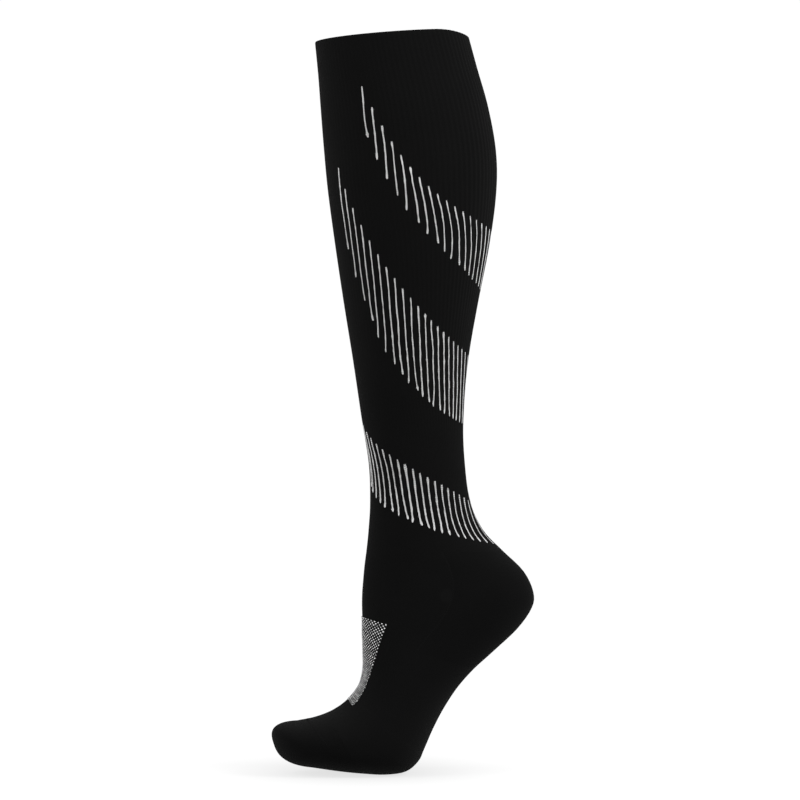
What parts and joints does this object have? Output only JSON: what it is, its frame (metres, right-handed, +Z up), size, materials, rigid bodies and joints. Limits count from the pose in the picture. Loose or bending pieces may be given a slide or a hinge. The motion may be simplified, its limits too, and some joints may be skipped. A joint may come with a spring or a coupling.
{
  "type": "compression stocking",
  "caption": "Knee-high compression stocking, filled out as worn on a pointed foot, with a turned welt, heel and toe pockets and a light panel on the instep.",
  "frame": {"origin": "centre of the top opening, on the plane of its edge, where the wearer's leg goes in", "axes": "+Z up the leg, -X towards the toes and the shin, +X towards the heel and the calf, +Y across the leg"},
  "size_m": [0.1791, 0.111, 0.508],
  "materials": {
    "black_knit": "fine plain knit in black nylon and elastane, with a low soft sheen",
    "black_reinforced": "denser black knit at the heel and the toe",
    "marl_knit": "bird's-eye knit of light grey and black yarn",
    "stripe_yarn": "light grey yarn, knitted in as thin upright stripes"
  },
  "bodies": {
    "root": {"welt": "black_knit", "leg": "black_knit", "heel": "black_reinforced", "foot": "black_knit", "instep_panel": "marl_knit", "toe": "black_reinforced"}
  },
  "joints": []
}
